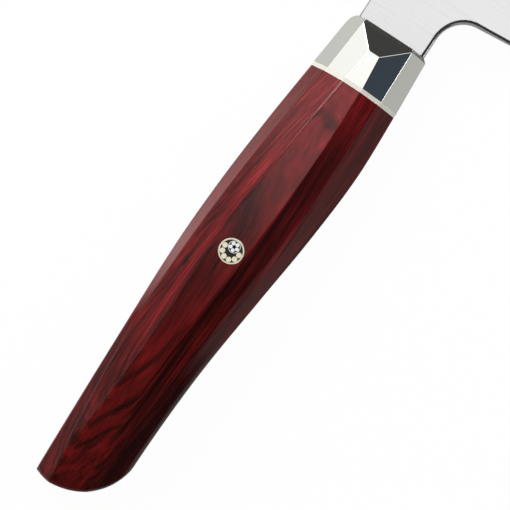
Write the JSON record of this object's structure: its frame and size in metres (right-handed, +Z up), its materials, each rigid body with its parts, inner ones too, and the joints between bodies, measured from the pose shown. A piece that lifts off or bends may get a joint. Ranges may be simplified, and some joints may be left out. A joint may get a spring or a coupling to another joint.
{
  "type": "gyuto knife",
  "caption": "Kitchen chef's knife with a tall straight-spined blade, a hidden tang, a faceted metal bolster and a faceted wooden handle with a mosaic pin.",
  "frame": {"origin": "middle of the knife's plan outline, at the level of the surface it lies on", "axes": "+X to the tip, +Y from the edge to the spine, +Z up out of the right face; the knife lies on its left side"},
  "size_m": [0.3534, 0.053, 0.02],
  "materials": {
    "blade_steel": "fine satin",
    "bolster_metal": "mirror polished nickel silver",
    "spacer_fibre": "smooth cream fibre",
    "handle_laminate": "polished resin-soaked veneer",
    "glue": "cast epoxy",
    "pin_brass": "polished",
    "pin_silver": "polished nickel silver",
    "pin_resin": "polished black resin"
  },
  "bodies": {
    "root": {"blade": "blade_steel", "bolster": "bolster_metal", "spacer": "spacer_fibre", "handle": "handle_laminate", "tang_epoxy": "glue", "pin_tube": "pin_brass", "pin_inner_tube": "pin_silver", "pin_brass_rod_1": "pin_brass", "pin_brass_rod_2": "pin_brass", "pin_brass_rod_3": "pin_brass", "pin_brass_rod_4": "pin_brass", "pin_brass_rod_5": "pin_brass", "pin_brass_rod_6": "pin_brass", "pin_silver_rod_1": "pin_silver", "pin_silver_rod_2": "pin_silver", "pin_silver_rod_3": "pin_silver", "pin_silver_rod_4": "pin_silver", "pin_silver_rod_5": "pin_silver", "pin_resin": "pin_resin", "pin_inner_resin": "pin_resin"}
  },
  "joints": []
}
